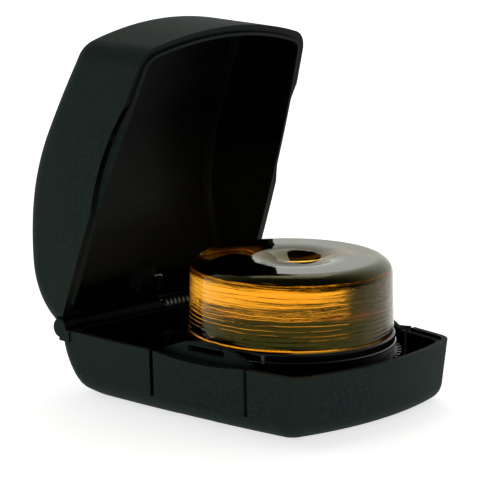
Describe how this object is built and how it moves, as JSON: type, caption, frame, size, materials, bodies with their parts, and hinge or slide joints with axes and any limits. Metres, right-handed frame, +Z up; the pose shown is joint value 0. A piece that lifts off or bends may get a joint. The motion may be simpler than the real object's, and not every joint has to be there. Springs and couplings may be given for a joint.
{
  "type": "bow rosin case",
  "caption": "Hinged pocket case holding a round cake of bow rosin on a toothed turntable, with spring-opened lid and squeeze latch tabs.",
  "frame": {"origin": "on the floor under the middle of the case, in the flat underside of the base", "axes": "+X across the case along the hinge, -Y towards the opening side, +Z up; the lid is stored open against its stop"},
  "size_m": [0.0516, 0.0718, 0.0688],
  "materials": {
    "shell_black": "fine-grained matte moulded plastic",
    "gear_black": "smooth satin moulded plastic",
    "cup_black": "glossy",
    "steel": "plain bright steel",
    "adhesive": "dull",
    "rosin": "glassy amber resin"
  },
  "bodies": {
    "base": {"base_shell": "shell_black", "hinge_pin": "steel", "torsion_spring": "steel", "pivot_screw": "steel", "pivot_washer": "steel", "click_spring": "steel"},
    "lid": {"lid_shell": "shell_black", "spring_lid_arm": "steel"},
    "turntable": {"turntable_gear": "gear_black", "cake_cup": "cup_black", "adhesive_disc": "adhesive", "rosin_cake": "rosin"},
    "left_tab": {"left_latch_tab": "shell_black"},
    "right_tab": {"right_latch_tab": "shell_black"}
  },
  "joints": [
    {"name": "lid_hinge", "type": "hinge", "parent": "base", "child": "lid", "pos_m": [0, 0.02905, 0.0119], "axis": [1, 0, 0], "range_deg": [0, 70.4], "stiffness_Nm_per_rad": 0.003, "springref_deg": -45.84},
    {"name": "turntable_spin", "type": "hinge", "parent": "base", "child": "turntable", "pos_m": [0, -0.00635, 0.0032], "axis": [0, 0, 1], "continuous": true},
    {"name": "left_tab_squeeze", "type": "hinge", "parent": "base", "child": "left_tab", "pos_m": [-0.02253, -0.00575, 0.0032], "axis": [-0.0932, 0.9956, 0], "range_deg": [0, 3], "stiffness_Nm_per_rad": 0.3},
    {"name": "right_tab_squeeze", "type": "hinge", "parent": "base", "child": "right_tab", "pos_m": [0.02253, -0.00575, 0.0032], "axis": [-0.0932, -0.9956, 0], "range_deg": [0, 3], "stiffness_Nm_per_rad": 0.3}
  ]
}
